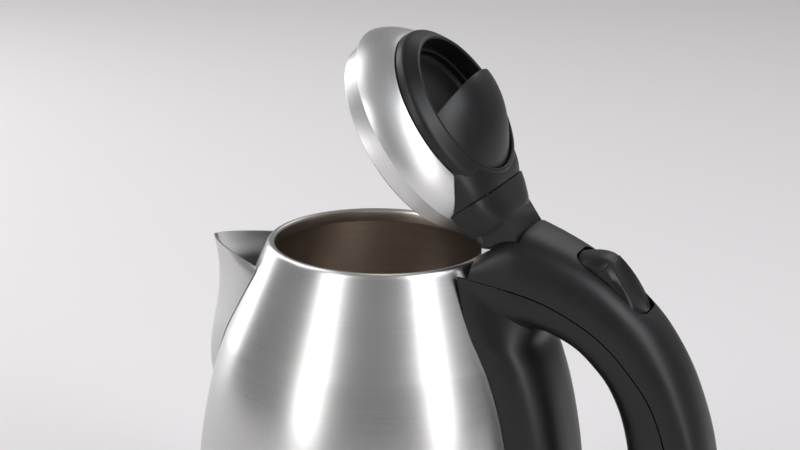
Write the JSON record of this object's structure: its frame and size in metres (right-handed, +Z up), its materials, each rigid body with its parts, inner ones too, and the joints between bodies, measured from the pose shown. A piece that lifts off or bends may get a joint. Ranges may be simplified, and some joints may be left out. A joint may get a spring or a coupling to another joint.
{
  "type": "electric kettle",
  "caption": "Brushed steel jug kettle with a hinged lid, pouring spout, black loop handle with rocker switch, and a round power base.",
  "frame": {"origin": "on the jug's vertical axis, at the level of the surface the power base stands on", "axes": "+X from the jug towards the handle (the spout points to -X), +Y across, +Z up; the lid stands open at rest"},
  "size_m": [0.2345, 0.16, 0.2829],
  "materials": {
    "brushed_steel": "brushed stainless steel, satin",
    "inner_steel": "plain stainless steel inside",
    "black_plastic": "fine textured black moulded plastic",
    "button_plastic": "smooth black moulded plastic",
    "rubber": "black rubber",
    "brass": "bright brass contacts",
    "aluminium": "plain aluminium",
    "screw_steel": "zinc plated steel",
    "white_nylon": "off-white moulded nylon",
    "red_insulation": "red wire insulation",
    "blue_insulation": "blue wire insulation",
    "silicone": "translucent grey silicone",
    "bimetal": "snap-action bimetal sheet"
  },
  "bodies": {
    "power_base": {"base_top_cover": "black_plastic", "base_bottom_cover": "black_plastic", "rubber_foot_1": "rubber", "rubber_foot_2": "rubber", "rubber_foot_3": "rubber", "rubber_foot_4": "rubber", "base_screw_1": "screw_steel", "base_screw_2": "screw_steel", "base_screw_3": "screw_steel", "connector_tower": "black_plastic", "tower_contact_ring": "brass", "tower_contact_sleeve": "brass"},
    "socket": {"kettle_socket": "black_plastic", "socket_pin": "brass", "socket_ring": "brass"},
    "jug": {"body_shell": "brushed_steel", "spout": "brushed_steel", "heating_plate": "inner_steel", "base_skirt": "black_plastic", "handle_lower_shell": "black_plastic", "handle_upper_shell": "black_plastic", "heat_spreader": "aluminium", "heating_element": "aluminium", "skirt_screw_1": "screw_steel", "skirt_screw_2": "screw_steel", "skirt_screw_3": "screw_steel", "element_terminal_1": "screw_steel", "element_terminal_2": "screw_steel", "hinge_bracket": "screw_steel", "hinge_pin": "screw_steel", "control_housing": "white_nylon", "steam_switch_housing": "white_nylon", "switch_wire_live": "red_insulation", "switch_wire_neutral": "blue_insulation", "steam_tube": "silicone", "snap_disc_1": "bimetal", "snap_disc_2": "bimetal", "steam_disc": "bimetal"},
    "lid": {"lid_shell": "brushed_steel", "lid_liner": "inner_steel", "lid_cap": "black_plastic", "lid_grip": "black_plastic", "hinge_knuckle": "black_plastic", "hinge_spring": "screw_steel", "knuckle_screw_1": "screw_steel", "knuckle_screw_2": "screw_steel", "grip_screw_1": "screw_steel", "grip_screw_2": "screw_steel"},
    "rocker": {"switch_rocker": "button_plastic", "switch_pin": "screw_steel"},
    "lever": {"switch_lever": "white_nylon"}
  },
  "joints": [
    {"name": "kettle_lift", "type": "slide", "parent": "power_base", "child": "socket", "axis": [0, 0, 1], "range_m": [0, 0.1]},
    {"name": "kettle_swivel", "type": "hinge", "parent": "socket", "child": "jug", "pos_m": [0, 0, 0.03], "axis": [0, 0, 1], "continuous": true},
    {"name": "lid_hinge", "type": "hinge", "parent": "jug", "child": "lid", "pos_m": [0.061, 0, 0.1962], "axis": [0, 1, 0], "range_deg": [-55, 13]},
    {"name": "switch_rock", "type": "hinge", "parent": "jug", "child": "rocker", "pos_m": [0.10711, 0, 0.18327], "axis": [0, -1, 0], "range_deg": [0, 10]},
    {"name": "switch_trip", "type": "hinge", "parent": "jug", "child": "lever", "pos_m": [0.09266, 0, 0.17976], "axis": [0, -1, 0], "range_deg": [-6, 6]}
  ],
  "couplings": [
    {"joint": "switch_trip", "follows": "switch_rock", "ratio": -0.5}
  ]
}
